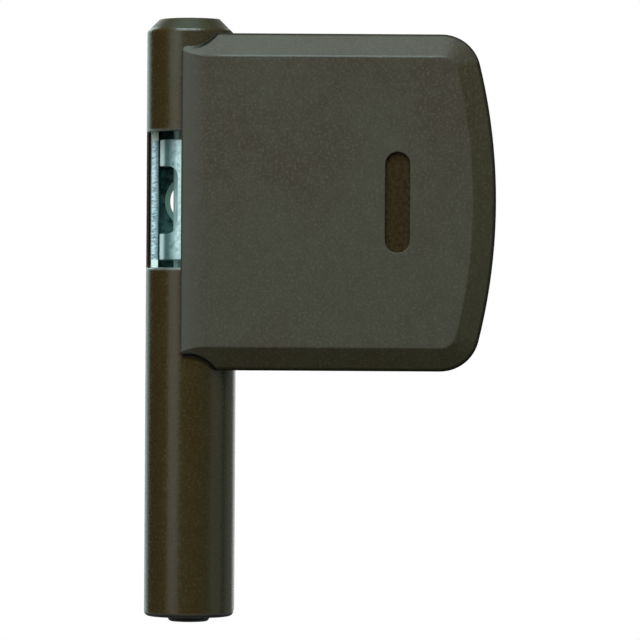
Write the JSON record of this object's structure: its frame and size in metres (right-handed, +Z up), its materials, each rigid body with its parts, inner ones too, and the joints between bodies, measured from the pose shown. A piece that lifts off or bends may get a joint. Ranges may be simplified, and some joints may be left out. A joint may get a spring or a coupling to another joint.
{
  "type": "hinge-side window lock",
  "caption": "Hinge-side window lock: a round-fronted tube for the frame carries a steel axle, and a flat bevelled case for the sash swings on it by two rolled knuckles.",
  "frame": {"origin": "middle of the channel's back face, which goes on the window frame, straight behind the axle", "axes": "+Z up along the hinge axle, +X from the tube to the case, +Y into the window frame, front at -Y"},
  "size_m": [0.0779, 0.0217, 0.1344],
  "materials": {
    "brown_moulding": "fine grained dark brown moulding",
    "brown_plug": "smooth dark brown moulding",
    "dark_base": "matt dark moulding",
    "zinc_sheet": "blue-white zinc plate on rolled sheet",
    "axle_steel": "drawn bright steel",
    "bearing_block": "plain machined steel"
  },
  "bodies": {
    "frame_part": {"tube_sleeve": "brown_moulding", "frame_channel": "zinc_sheet", "upper_bearing": "bearing_block", "middle_bearing": "bearing_block", "lower_bearing": "bearing_block", "upper_bearing_rivet_left": "zinc_sheet", "upper_bearing_rivet_right": "zinc_sheet", "middle_bearing_rivet_left": "zinc_sheet", "middle_bearing_rivet_right": "zinc_sheet", "lower_bearing_rivet_left": "zinc_sheet", "lower_bearing_rivet_right": "zinc_sheet", "hinge_axle": "axle_steel", "axle_grub_screw": "axle_steel", "bottom_plug": "brown_plug"},
    "sash_part": {"sash_plate": "zinc_sheet", "sash_base": "dark_base", "case_cover": "brown_moulding"}
  },
  "joints": [
    {"name": "sash_swing", "type": "hinge", "parent": "frame_part", "child": "sash_part", "pos_m": [0, -0.01, 0.02765], "axis": [0, 0, -1], "range_deg": [0, 90]}
  ]
}
